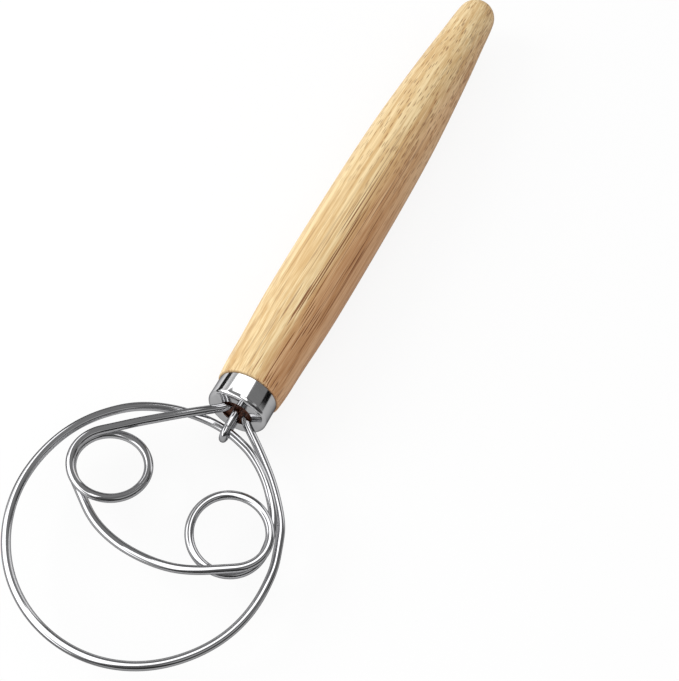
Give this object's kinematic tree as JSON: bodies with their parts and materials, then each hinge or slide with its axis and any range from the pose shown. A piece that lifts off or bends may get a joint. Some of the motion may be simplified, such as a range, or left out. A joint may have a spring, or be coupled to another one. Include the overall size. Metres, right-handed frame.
{
  "type": "dough whisk",
  "caption": "Hand whisk for dough: a turned hardwood handle with a steel ferrule, and a steel wire head bent into an open ring with round coiled eyes inside it.",
  "frame": {"origin": "under the middle of the whole tool, level with the handle's lowest line", "axes": "+X along the handle towards the wire head, +Z square to the head's flat plane, on the side where the last run of wire lies"},
  "size_m": [0.342, 0.0864, 0.0285],
  "materials": {
    "hardwood": "satin, fine straight grain",
    "ferrule_steel": "polished stainless sheet",
    "wire_steel": "polished stainless wire"
  },
  "bodies": {
    "root": {"handle": "hardwood", "ferrule": "ferrule_steel", "whisk_wire": "wire_steel", "retaining_hook": "wire_steel"}
  },
  "joints": []
}
